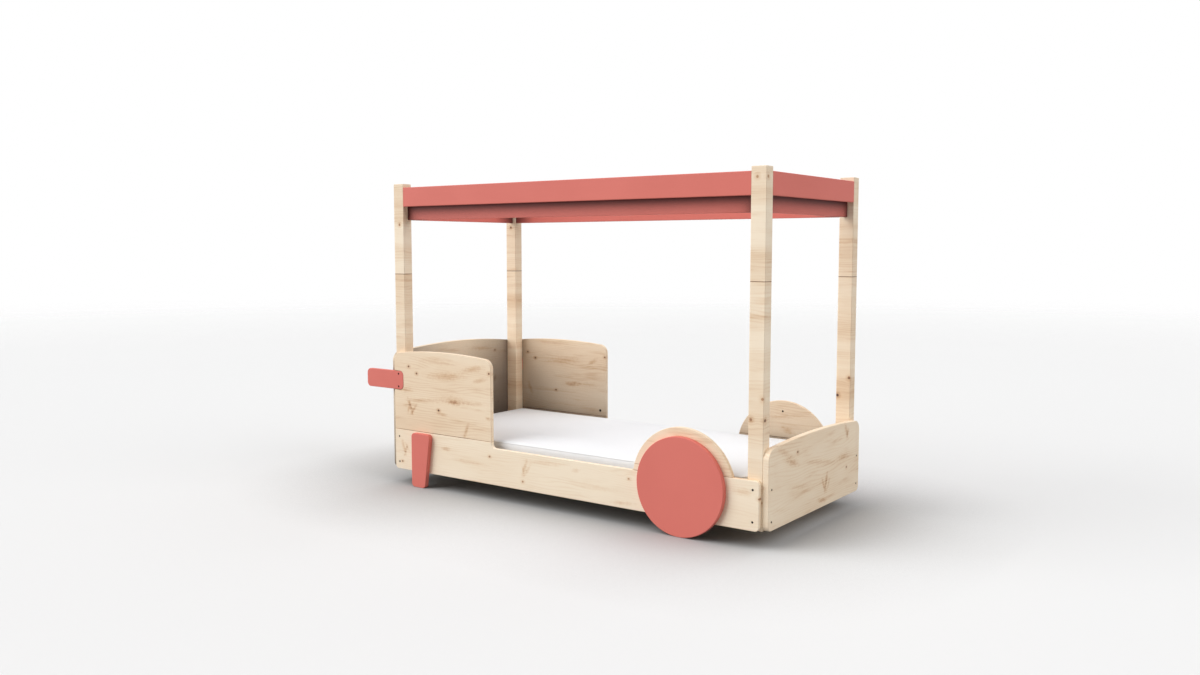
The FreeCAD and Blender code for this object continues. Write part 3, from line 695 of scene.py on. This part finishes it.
@dataclass(frozen=True)
class SideBoards:
    """The rails, panels and fenders along both sides.

    joint_share is the half length of a joint's line as a share of the joint's length, and
    step_line the length of the joint where the fender stands on the rail's lower step.
    panel_shade and fender_shade are how strongly painted shade darkens the far ones inside the bed.
    """

    joint_width: float = 1.5 * MM
    joint_share: float = 0.6
    step_line: float = 50 * MM
    panel_shade: float = 1.2
    fender_shade: float = 0.7

    def joints(self, side: Side) -> tuple[Mark, ...]:
        """The lines where the rail meets the panel and the fender, and the panel the handle.

        Args:
            side: The side of the bed.

        Returns:
            The lines.
        """
        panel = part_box(f"side_panel_{side.word}")
        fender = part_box(f"fender_{side.word}")
        low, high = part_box(f"handle_{side.word}")
        face = panel[0].y
        spans = ((panel[0].x, panel[1].x, panel[0].z),
                 (fender[0].x, fender[1].x, panel[0].z),
                 (fender[0].x, fender[0].x + self.step_line, fender[0].z))
        lines = [Joint(((start + end) / 2, face, level),
                       ((end - start) * self.joint_share, 1.0, self.joint_width))
                 for start, end, level in spans]
        return (*lines, NotchShade(tuple((low + high) / 2), tuple((high - low) / 2)))

    def marks(self, side: Side, pins: Sequence[tuple[float, float]],
              flares: Sequence[tuple[float, ...]]) -> tuple[Mark, ...]:
        """The marks at the right-hand face of a side's boards, and the side's joints.

        Args:
            side: The side of the bed.
            pins: The small knots, as BoardFace takes them.
            flares: The feathers, as BoardFace takes them.

        Returns:
            The marks.
        """
        face = BoardFace(Axis.Y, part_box(f"side_panel_{side.word}")[0].y)
        return (*face.marks(pins, flares), *self.joints(side))

    def right_panel(self) -> PaleTimber:
        """The near panel: pin knots, two feathered knots and long streaks."""
        marks = self.marks(
            Side.RIGHT,
            [(-0.877, 0.623), (-0.819, 0.590), (-0.663, 0.412), (-0.316, 0.624)],
            [(-0.866, 0.412, 0.012, 0.044, 24, 0.38), (-0.842, 0.402, 0.009, 0.040, -38, 0.3),
             (-0.882, 0.402, 0.008, 0.030, -12, 0.25), (-0.890, 0.420, 0.040, 0.008, 4, 0.2),
             (-0.549, 0.462, 0.050, 0.013, 2, 0.4), (-0.560, 0.470, 0.120, 0.028, 0, 0.2),
             (-0.420, 0.468, 0.090, 0.013, 0, 0.22), (-0.473, 0.322, 0.010, 0.044, -22, 0.3),
             (-0.610, 0.588, 0.130, 0.022, 4, 0.24), (-0.376, 0.585, 0.060, 0.012, 14, 0.24),
             (-0.322, 0.402, 0.020, 0.011, 0, 0.4), (-0.750, 0.455, 0.130, 0.012, 2, 0.16),
             (-0.420, 0.640, 0.080, 0.018, 10, 0.26), (-0.700, 0.660, 0.140, 0.014, -4, 0.16),
             (-0.900, 0.500, 0.060, 0.016, 0, 0.16), (-0.640, 0.395, 0.050, 0.010, -6, 0.24)])
        return PaleTimber("timber_panel_right", marks=marks, seed=1.0, depth=0.2, streaks=0.27)

    def right_rail(self) -> PaleTimber:
        """The near rail: pin knots and the feathers beside them."""
        marks = self.marks(
            Side.RIGHT,
            [(0.515, 0.214), (-0.316, 0.215), (1.162, 0.214), (-0.103, 0.118), (-0.932, 0.118)],
            [(-0.090, 0.188, 0.012, 0.044, -20, 0.36), (-0.074, 0.176, 0.009, 0.036, -34, 0.26),
             (-0.100, 0.172, 0.008, 0.030, 16, 0.24),
             (-0.921, 0.196, 0.012, 0.044, 18, 0.34), (-0.905, 0.180, 0.009, 0.034, -25, 0.3),
             (-0.898, 0.200, 0.008, 0.030, 34, 0.24),
             (-0.614, 0.219, 0.030, 0.012, 0, 0.32), (0.224, 0.214, 0.028, 0.010, 8, 0.28),
             (0.026, 0.225, 0.130, 0.010, 2, 0.2), (0.330, 0.150, 0.150, 0.012, 1, 0.18),
             (-0.420, 0.170, 0.120, 0.011, -2, 0.16), (0.480, 0.100, 0.060, 0.010, 4, 0.3),
             (1.090, 0.235, 0.050, 0.016, 0, 0.3)])
        return PaleTimber("timber_rail_right", marks=marks, seed=2.0, depth=0.05, streaks=0.2)

    def left_boards(self, name: str, shade: float) -> PaleTimber:
        """The far rail, panel and fender, which are seen from inside the bed, with painted shade.

        Args:
            name: The finish's name.
            shade: How strongly painted shade darkens them inside the bed.

        Returns:
            The finish.
        """
        marks = self.marks(
            Side.LEFT,
            [(-0.877, 0.623), (-0.819, 0.590), (-0.663, 0.412), (-0.312, 0.624)],
            [(0.820, 0.325, 0.040, 0.016, -16, 0.34), (-0.860, 0.412, 0.014, 0.046, 24, 0.32),
             (-0.549, 0.455, 0.060, 0.016, 2, 0.4), (-0.600, 0.590, 0.120, 0.024, 3, 0.24),
             (-0.400, 0.590, 0.040, 0.014, 30, 0.28), (-0.420, 0.460, 0.090, 0.014, 0, 0.22),
             (0.780, 0.390, 0.100, 0.012, 6, 0.2)])
        # Painted shade: corner_power darkens these boards where the other boards stand close.
        return PaleTimber(name, marks=marks, seed=3.0, depth=0.2, streaks=0.27, corner_power=shade)

    def dress(self) -> None:
        """Finish both sides."""
        dress(["side_panel_right"], self.right_panel())
        dress(["side_rail_right"], self.right_rail())
        dress(["fender_right"], PaleTimber("timber_fender_right", marks=self.joints(Side.RIGHT), seed=6.0))
        dress(["side_panel_left", "side_rail_left"],
              self.left_boards("timber_panel_left", self.panel_shade))
        dress(["fender_left"], self.left_boards("timber_fender_left", self.fender_shade))


@dataclass(frozen=True)
class EndBoards:
    """The head board and the foot board."""

    # How strongly painted shade darkens the head board inside the bed.
    head_shade: float = 3.1

    def finish(self, board: str, pins: Sequence[tuple[float, float]],
               flares: Sequence[tuple[float, ...]], seed: float, shade: float) -> PaleTimber:
        """The finish of one board.

        Args:
            board: The CAD node.
            pins: The small knots, as BoardFace takes them.
            flares: The feathers, as BoardFace takes them.
            seed: A seed for its figure.
            shade: How strongly painted shade darkens it where the boards beside it stand close.

        Returns:
            The finish.
        """
        face = BoardFace(Axis.X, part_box(board)[1].x)
        # Painted shade: with a shade above 0, the board's colour darkens where the boards beside it stand
        # close.
        return PaleTimber(f"timber_{board}", slow=(Axis.Y,), marks=face.marks(pins, flares),
                          seed=seed, depth=0.17, streaks=0.3, corner_power=shade)

    def dress(self) -> None:
        """Finish both boards."""
        dress(["foot_board"], self.finish(
            "foot_board", [(-0.203, 0.369), (0.322, 0.214)],
            [(0.095, 0.184, 0.014, 0.050, 14, 0.42), (0.070, 0.172, 0.010, 0.040, -28, 0.34),
             (0.120, 0.170, 0.009, 0.034, 30, 0.28), (-0.255, 0.334, 0.075, 0.018, 14, 0.4),
             (0.317, 0.386, 0.016, 0.040, -30, 0.4), (0.330, 0.372, 0.012, 0.034, 24, 0.3),
             (0.290, 0.268, 0.080, 0.018, 0, 0.3), (0.050, 0.110, 0.050, 0.012, 10, 0.34),
             (0.010, 0.290, 0.150, 0.012, 8, 0.2), (-0.180, 0.215, 0.120, 0.012, 6, 0.2),
             (-0.330, 0.385, 0.070, 0.016, 20, 0.22)],
            4.0, 0.0))
        dress(["head_board"], self.finish(
            "head_board", [(0.304, 0.640), (-0.28, 0.61), (-0.05, 0.24), (0.33, 0.33)],
            [(-0.120, 0.440, 0.013, 0.050, 20, 0.38), (0.300, 0.475, 0.014, 0.044, 20, 0.36),
             (0.180, 0.660, 0.090, 0.014, 4, 0.26), (0.100, 0.360, 0.110, 0.016, 0, 0.28)],
            5.0, self.head_shade))


@dataclass(frozen=True)
class SlattedBase:
    """The two ledgers and the slats that carry the mattress."""

    kinds: int = 3

    def dress(self) -> None:
        """Finish the ledgers, and the slats in a few kinds by turns."""
        dress([f"ledger_{side.word}" for side in Side], PaleTimber("timber_ledgers", seed=8.0))
        slats = sorted(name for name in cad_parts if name.startswith("slat_") and name[5:].isdigit())
        for kind in range(self.kinds):
            finish = PaleTimber(f"timber_slats_{kind + 1}", slow=(Axis.Y,), across=Axis.X,
                                seed=31.0 + kind, ring_pitch=(9 + kind) * MM)
            dress(slats[kind::self.kinds], finish)


@dataclass(frozen=True)
class PaintedPieces:
    """The handles, wheels, legs and canopy boards, all in coral."""

    lengthwise: tuple[str, ...] = ("handle_right", "handle_left", "wheel_right", "wheel_left",
                                   "fascia_right", "fascia_left")
    crosswise: tuple[str, ...] = ("fascia_head", "fascia_foot")
    upright: tuple[str, ...] = ("leg_right", "leg_left")
    under_fascia: Mapping[str, Axis] = field(default_factory=lambda: {
        "roof_rail_right": Axis.X, "roof_rail_left": Axis.X,
        "roof_rail_head": Axis.Y, "roof_rail_foot": Axis.Y})
    # How far ambient occlusion looks for the painted shade on the roof rails under the fascia.
    overhang_shade: float = 0.16

    def dress(self) -> None:
        """Paint each piece, with the fibre under the paint running its own way, and painted shade on the
        roof rails under the fascia.
        """
        for names, grain in ((self.lengthwise, Axis.X), (self.crosswise, Axis.Y),
                             (self.upright, Axis.Z)):
            dress(names, MattPaint(f"coral_paint_along_{grain.name.lower()}", grain=grain))
        # The roof rails get painted shade in the step under the fascia boards.
        for name, grain in self.under_fascia.items():
            dress([name], MattPaint(f"coral_paint_under_fascia_along_{grain.name.lower()}", grain=grain,
                                    corner_reach=self.overhang_shade))


# --------------------------------------------------------------------------------- fasteners
class Drive(Enum):
    """The recess that a driver turns."""

    HEX = "hex"
    CROSS = "cross"

    def radius(self, turn: float) -> float:
        """How far the recess reaches at an angle, as a share of its widest."""
        if self is Drive.HEX:
            sector = math.pi / 3
            return math.cos(sector / 2) / math.cos(turn % sector - sector / 2)
        return 0.3 + 0.7 * abs(math.cos(2 * turn)) ** 6


@dataclass(frozen=True)
class Fastener:
    """One screw or cam as the CAD has it: its head's middle, its way in and its radii."""

    head: Vector
    way: Vector
    head_radius: float
    tip_radius: float
    length: float

    @classmethod
    def measure(cls, corners: Sequence[Vector]) -> "Fastener":
        """Measure a solid of revolution from its corners.

        Args:
            corners: The solid's corners.

        Returns:
            The fastener, whose head is its wider end.
        """
        low = Vector([min(corner[axis] for corner in corners) for axis in range(3)])
        high = Vector([max(corner[axis] for corner in corners) for axis in range(3)])
        size = high - low
        long = max(range(3), key=lambda axis: size[axis])
        middle = (low + high) / 2
        way = Vector(Axis(long).along(1.0, 0.0))

        def widest(level: float) -> float:
            """The radius of the corners at one end."""
            rim = [corner - middle for corner in corners if abs(corner[long] - level) < WELD]
            return max((arm - way * arm.dot(way)).length for arm in rim)

        ends = [(widest(low[long]), low[long], 1.0), (widest(high[long]), high[long], -1.0)]
        (head_radius, level, sign), (tip_radius, _, _) = sorted(ends, reverse=True)
        head = middle.copy()
        head[long] = level
        return cls(head, way * sign, head_radius, tip_radius, size[long])


def loose_solids(node: bpy.types.Object) -> list[list[Vector]]:
    """The corners of each separate solid of a CAD node.

    Args:
        node: The CAD node's object.

    Returns:
        A list of corners for each solid.
    """
    mesh = bmesh.new()
    mesh.from_mesh(node.data)
    bmesh.ops.remove_doubles(mesh, verts=mesh.verts, dist=WELD)
    waiting = dict.fromkeys(mesh.verts)
    solids = []
    while waiting:
        front = [waiting.popitem()[0]]
        solid = []
        while front:
            corner = front.pop()
            solid.append(corner.co.copy())
            for edge in corner.link_edges:
                other = edge.other_vert(corner)
                if other in waiting:
                    del waiting[other]
                    front.append(other)
        solids.append(solid)
    mesh.free()
    return solids


@dataclass(frozen=True)
class FastenerSet:
    """The screws or cams of one CAD node, with the recess that the driver turns.

    recess_share is the recess's radius as a share of the head's, recess_taper that of its
    floor as a share of its mouth's, and lip how far its mouth is broken.
    """

    node: str
    slot: str
    finish: Steel
    drive: Drive = Drive.HEX
    head_depth: float = 4 * MM
    chamfer: float = 0.7 * MM
    tip_chamfer: float = 0.4 * MM
    lip: float = 0.25 * MM
    recess_share: float = 0.62
    recess_taper: float = 0.94
    recess_depth: float = 2.2 * MM
    sides: int = 24

    def profile(self, item: Fastener) -> list[tuple[float, float, bool]]:
        """Radius, depth and whether it has the recess's outline, for each ring from tip to middle."""
        recess = item.head_radius * self.recess_share
        head_depth = min(self.head_depth, item.length - 1 * MM)
        return [(item.tip_radius - self.tip_chamfer, item.length, False),
                (item.tip_radius, item.length - 2 * self.tip_chamfer, False),
                (item.tip_radius, head_depth, False),
                (item.head_radius, head_depth, False),
                (item.head_radius, self.chamfer, False),
                (item.head_radius - self.chamfer, 0.0, False),
                (recess + self.lip, 0.0, True),
                (recess, self.lip, True),
                (recess * self.recess_taper, self.recess_depth, True)]

    def add(self, mesh: bmesh.types.BMesh, item: Fastener) -> None:
        """Turn one fastener into rings of faces.

        Args:
            mesh: The mesh that takes it.
            item: The fastener.
        """
        turned = item.way.to_track_quat("Z", "Y")
        angles = [2 * math.pi * number / self.sides for number in range(self.sides)]
        rings = []
        for radius, depth, shaped in self.profile(item):
            ring = []
            for angle in angles:
                reach = radius * (self.drive.radius(angle) if shaped else 1.0)
                arm = Vector((reach * math.cos(angle), reach * math.sin(angle), depth))
                ring.append(mesh.verts.new(item.head + turned @ arm))
            rings.append(ring)
        for outer, inner in zip(rings, rings[1:]):
            for number in range(self.sides):
                after = (number + 1) % self.sides
                mesh.faces.new((outer[number], outer[after], inner[after], inner[number]))
        mesh.faces.new(reversed(rings[0]))
        mesh.faces.new(rings[-1])

    def build(self) -> None:
        """Build the whole set in place of its node."""
        mesh = bmesh.new()
        for corners in loose_solids(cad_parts[self.node]):
            self.add(mesh, Fastener.measure(corners))
        bmesh.ops.recalc_face_normals(mesh, faces=mesh.faces)
        data = bpy.data.meshes.new(f"{self.node}_turned")
        mesh.to_mesh(data)
        mesh.free()
        data.shade_smooth()
        data.set_sharp_from_angle(angle=math.radians(30))
        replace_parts(link(f"{self.node}_turned", data, self.finish, "frame"), self.node)


@dataclass(frozen=True)
class Hardware:
    """Every screw, cam, pin and dowel."""

    black: Steel = Steel("black_steel_film")
    zinc: Steel = Steel("zinc_plated_steel", paint(176, 178, 180), paint(205, 206, 208), 0.3)

    def build(self) -> None:
        """Turn the screws and cams, and finish what stays hidden in its bores."""
        for node in ("rail_screws", "end_board_screws", "handle_screws", "wheel_screws", "leg_screws"):
            FastenerSet(node, "black_steel", self.black).build()
        for node in ("ledger_screws", "slat_screws"):
            FastenerSet(node, "zinc_steel", self.zinc, Drive.CROSS).build()
        FastenerSet("panel_cams", "black_steel", self.black, Drive.CROSS, head_depth=12 * MM,
                    recess_share=0.5, recess_depth=3 * MM).build()
        dress(["cam_pins"], self.zinc)
        dress(["board_dowels", "splice_dowels", "canopy_dowels"],
              PaleTimber("timber_dowels", slow=(Axis.Z,), across=Axis.X, seed=41.0, ring_pitch=4 * MM))


# ---------------------------------------------------------------------------------- mattress
@dataclass(frozen=True)
class Mattress:
    """A foam mattress in a sewn cover with a piped seam round its top and bottom edges.

    Its form is that of its CAD solid, a little smaller by start_inset, which then swells by
    swell at most.  edge and corner are the solid's roundings and crown its bulge on top.
    seam_depth is how far a seam draws the cover in, and seam_width how far off it is felt.
    """

    node: str = "mattress"
    start_inset: float = 4 * MM
    voxel: float = 13 * MM
    pressure: float = 4.0
    frames: int = 20
    swell: float = 7 * MM
    edge: float = 18 * MM
    corner: float = 45 * MM
    crown: float = 8 * MM
    piping: float = 2.8 * MM
    piping_sides: int = 8
    piping_rise: float = 0.56 * MM
    seam_depth: float = 2.45 * MM
    seam_width: float = 8 * MM
    corner_steps: int = 8
    cloth: WovenCover = field(default_factory=lambda: WovenCover("white_twill"))

    @property
    def box(self) -> tuple[Vector, Vector]:
        """The lowest and highest corner of the mattress's CAD solid."""
        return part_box(self.node)

    @property
    def seam_inset(self) -> float:
        """How far inside the upright and level faces the middle of the rounded edge lies."""
        return self.edge * (1 - math.sqrt(0.5))

    @property
    def seam_radius(self) -> float:
        """The radius of a seam's corners, seen from above."""
        return self.corner - self.seam_inset

    def start_form(self) -> bpy.types.Object:
        """A finely and evenly meshed copy of the CAD form, a little smaller."""
        low, high = self.box
        middle = (low + high) / 2
        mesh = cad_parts[self.node].data.copy()
        size = high - low
        shrink = Matrix.Diagonal([(side - 2 * self.start_inset) / side for side in size]).to_4x4()
        mesh.transform(Matrix.Translation(middle) @ shrink @ Matrix.Translation(-middle))
        form = bpy.data.objects.new("mattress_form", mesh)
        bpy.context.scene.collection.objects.link(form)
        remesh = form.modifiers.new("Remesh", "REMESH")
        remesh.mode = "VOXEL"
        remesh.voxel_size = self.voxel
        self._apply(form)
        return form

    @staticmethod
    def _apply(form: bpy.types.Object) -> None:
        """Apply every modifier of a form to its mesh."""
        graph = bpy.context.evaluated_depsgraph_get()
        form.data = bpy.data.meshes.new_from_object(form.evaluated_get(graph))
        form.modifiers.clear()

    def inflate(self, form: bpy.types.Object) -> None:
        """Let the cover swell as cloth under the foam's pressure, within a limit.

        Args:
            form: The start form; its mesh is changed.
        """
        before = [corner.co.copy() for corner in form.data.vertices]
        cloth = form.modifiers.new("Cloth", "CLOTH")
        cloth.settings.quality = 4
        cloth.settings.mass = 0.3
        cloth.settings.use_pressure = True
        cloth.settings.uniform_pressure_force = self.pressure
        cloth.settings.effector_weights.gravity = 0
        cloth.point_cache.frame_start = 1
        cloth.point_cache.frame_end = self.frames
        for number in range(1, self.frames + 1):
            bpy.context.scene.frame_set(number)
        self._apply(form)
        bpy.context.scene.frame_set(1)
        low, high = self.box
        for corner, start in zip(form.data.vertices, before):
            move = corner.co - start
            if move.length > self.swell:
                move *= self.swell / move.length
            corner.co = start + move
            corner.co.z = min(max(corner.co.z, low.z), high.z)

    def seam_line(self, level: float) -> list[Vector]:
        """The points of a rounded rectangle just inside the mattress's upright faces.

        Args:
            level: The seam's height.

        Returns:
            The points, which lie in its corners only.
        """
        low, high = self.box
        middle = (low + high) / 2
        reach = (high - low) / 2 - Vector((self.corner, self.corner, 0))
        points = []
        for sign_x, sign_y, start in ((1, 1, 0), (-1, 1, 90), (-1, -1, 180), (1, -1, 270)):
            hub = Vector((middle.x + sign_x * reach.x, middle.y + sign_y * reach.y, level))
            for step in range(self.corner_steps + 1):
                turn = math.radians(start + 90 * step / self.corner_steps)
                points.append(hub + Vector((math.cos(turn), math.sin(turn), 0)) * self.seam_radius)
        return points

    def sew(self, form: bpy.types.Object, lines: Sequence[Sequence[Vector]]) -> None:
        """Draw the cover in along its seams.

        Args:
            form: The swollen form, finely meshed; its mesh is changed.
            lines: The seams' points.
        """
        low, high = self.box
        middle = (low + high) / 2
        flat = (high - low) / 2 - Vector((self.corner, self.corner, 0))
        for corner in form.data.vertices:
            arm = corner.co - middle
            over = Vector((max(abs(arm.x) - flat.x, 0), max(abs(arm.y) - flat.y, 0)))
            beyond = over.length - self.seam_radius
            for line in lines:
                gap = math.hypot(beyond, corner.co.z - line[0].z)
                pull = self.seam_depth * math.exp(-(gap / self.seam_width) ** 2)
                corner.co.x -= math.copysign(pull * (over.x > 0), arm.x)
                corner.co.y -= math.copysign(pull * (over.y > 0), arm.y)
                corner.co.z -= math.copysign(pull, line[0].z - middle.z)

    def pipe(self, name: str, line: Sequence[Vector], surface: BVHTree) -> None:
        """Sew a cord of cover cloth into a seam.

        Args:
            name: The piece's name.
            line: The seam's points.
            surface: The cover, to lay the cord on.
        """
        curve = bpy.data.curves.new(name, "CURVE")
        curve.dimensions = "3D"
        curve.bevel_depth = self.piping
        curve.bevel_resolution = self.piping_sides // 4
        curve.resolution_u = 6
        spline = curve.splines.new("NURBS")
        spline.points.add(len(line) - 1)
        for point, where in zip(spline.points, line):
            nearest, normal, _, _ = surface.find_nearest(where)
            point.co = (*(nearest + normal * self.piping_rise), 1.0)
        spline.use_cyclic_u = True
        spline.order_u = 3
        tube = bpy.data.objects.new(name, curve)
        bpy.context.scene.collection.objects.link(tube)
        graph = bpy.context.evaluated_depsgraph_get()
        mesh = bpy.data.meshes.new_from_object(tube.evaluated_get(graph))
        bpy.data.objects.remove(tube)
        mesh.shade_smooth()
        link(name, mesh, self.cloth, "mattress")

    def build(self) -> None:
        """Build the mattress in place of its CAD solid."""
        form = self.start_form()
        self.inflate(form)
        low, high = self.box
        lines = [self.seam_line(level) for level in (low.z + self.seam_inset,
                                                     high.z - self.crown - self.seam_inset)]
        fine = form.modifiers.new("Subdivision", "SUBSURF")
        fine.levels = fine.render_levels = 1
        self._apply(form)
        self.sew(form, lines)
        mesh = form.data
        bpy.data.objects.remove(form)
        mesh.shade_smooth()
        piece = link("mattress_in_cover", mesh, self.cloth, "mattress")
        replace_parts(piece, self.node)
        graph = bpy.context.evaluated_depsgraph_get()
        surface = BVHTree.FromObject(piece, graph)
        for name, line in zip(("bottom", "top"), lines):
            self.pipe(f"mattress_piping_{name}", line, surface)


# ------------------------------------------------------------------------------------ studio
@dataclass(frozen=True)
class Lamp:
    """A soft lamp, far off: the way its light travels, its strength and its spread in degrees."""

    name: str
    way: Triple
    strength: float
    spread: float

    def build(self) -> None:
        """Hang the lamp."""
        light = bpy.data.lights.new(self.name, "SUN")
        light.energy = self.strength
        light.angle = math.radians(self.spread)
        lamp = bpy.data.objects.new(self.name, light)
        lamp.rotation_euler = Vector(self.way).to_track_quat("-Z", "Y").to_euler()
        bpy.context.scene.collection.objects.link(lamp)


@dataclass(frozen=True)
class Studio:
    """A pale floor under an even sky, soft lamps and the camera.

    The floor shows as floor_seen, with a painted shadow that makes it the darker the closer the
    bed stands over it within shade_reach, down to floor_shade.  The light that it gives back has
    floor_shade's colour.
    It fades out between fade_start and fade_end.
    """

    camera_place: Triple = (3.1071, -4.2480, 1.2397)
    camera_pitch: float = -0.08620
    camera_heading: float = 0.63173
    lens: float = 31.249
    sky: float = 0.272
    floor_radius: float = 24.0
    fade_start: float = 8.0
    fade_end: float = 22.0
    floor_seen: Colour = paint(233, 233, 233)
    floor_shade: Colour = paint(150, 150, 150)
    shade_reach: float = 0.9
    shade_power: float = 2.0
    lamps: tuple[Lamp, ...] = (
        Lamp("high_lamp", (0.44, 0.44, -0.79), 1.4, 50.0),
        Lamp("low_lamp", (0.67, 0.67, -0.31), 1.64, 50.0),
        Lamp("side_lamp", (-0.81, -0.14, -0.57), 1.28, 50.0),
        Lamp("back_lamp", (-0.05, -0.78, -0.62), 0.55, 50.0))

    def aim(self) -> None:
        """Set up the camera where the photograph was taken from."""
        data = bpy.data.cameras.new("camera")
        data.lens = self.lens
        data.sensor_fit = "HORIZONTAL"
        camera = bpy.data.objects.new("camera", data)
        camera.location = self.camera_place
        camera.rotation_euler = (math.pi / 2 + self.camera_pitch, 0, self.camera_heading)
        bpy.context.scene.collection.objects.link(camera)
        bpy.context.scene.camera = camera

    def lay_floor(self) -> None:
        """Lay a round floor with a painted shadow near the bed, which fades out far behind the bed."""
        mesh = bmesh.new()
        bmesh.ops.create_circle(mesh, cap_ends=True, segments=96, radius=self.floor_radius)
        data = bpy.data.meshes.new("floor")
        mesh.to_mesh(data)
        mesh.free()
        floor = bpy.data.objects.new("floor", data)
        bpy.context.scene.collection.objects.link(floor)
        material = bpy.data.materials.new("studio_floor")
        material.use_nodes = True
        material.node_tree.nodes.clear()
        graph = Graph(material.node_tree)
        # Painted shadow: the floor's seen colour darkens towards floor_shade where ambient occlusion finds
        # the bed close.
        shown = graph.mix(graph.openness(self.shade_reach) ** self.shade_power,
                          self.floor_shade, self.floor_seen)
        surface = graph.node("ShaderNodeBsdfDiffuse", None,
                             {"Color": graph.mix(self.seen(graph), self.floor_shade, shown)})
        clear = graph.node("ShaderNodeBsdfTransparent")
        fade = graph.place().length().rising(self.fade_start, self.fade_end)
        mixed = graph.node("ShaderNodeMixShader", None, {0: fade, 1: surface, 2: clear})
        graph.node("ShaderNodeOutputMaterial", None, {"Surface": mixed})
        data.materials.append(material)

    @staticmethod
    def seen(graph: Graph) -> Signal:
        """One for the rays that show the background: the camera's, and those of gloss and glass."""
        rays = graph.node("ShaderNodeLightPath")
        return (rays.output("Is Camera Ray").larger(rays.output("Is Glossy Ray"))
                .larger(rays.output("Is Transmission Ray")))

    def hang_sky(self) -> None:
        """Light the bed evenly from all round, in front of a white background."""
        world = bpy.data.worlds.new("studio")
        world.use_nodes = True
        world.node_tree.nodes.clear()
        graph = Graph(world.node_tree)
        white = (1.0, 1.0, 1.0, 1.0)
        light = graph.node("ShaderNodeBackground", None, {"Color": white, "Strength": self.sky})
        shown = graph.node("ShaderNodeBackground", None, {"Color": white, "Strength": 1.0})
        mixed = graph.node("ShaderNodeMixShader", None, {0: self.seen(graph), 1: light, 2: shown})
        graph.node("ShaderNodeOutputWorld", None, {"Surface": mixed})
        bpy.context.scene.world = world

    def build(self) -> None:
        """Build the whole studio."""
        bpy.context.scene.view_settings.view_transform = "Standard"
        self.aim()
        self.lay_floor()
        self.hang_sky()
        for lamp in self.lamps:
            lamp.build()
        logging.info("studio: %d lamps", len(self.lamps))


def main() -> None:
    """Build the studio and every piece of the bed."""
    logging.basicConfig(level=logging.INFO, format="%(message)s")
    Studio().build()
    Posts().dress()
    SideBoards().dress()
    EndBoards().dress()
    SlattedBase().dress()
    PaintedPieces().dress()
    Hardware().build()
    Mattress().build()


if __name__ == "__main__":
    main()
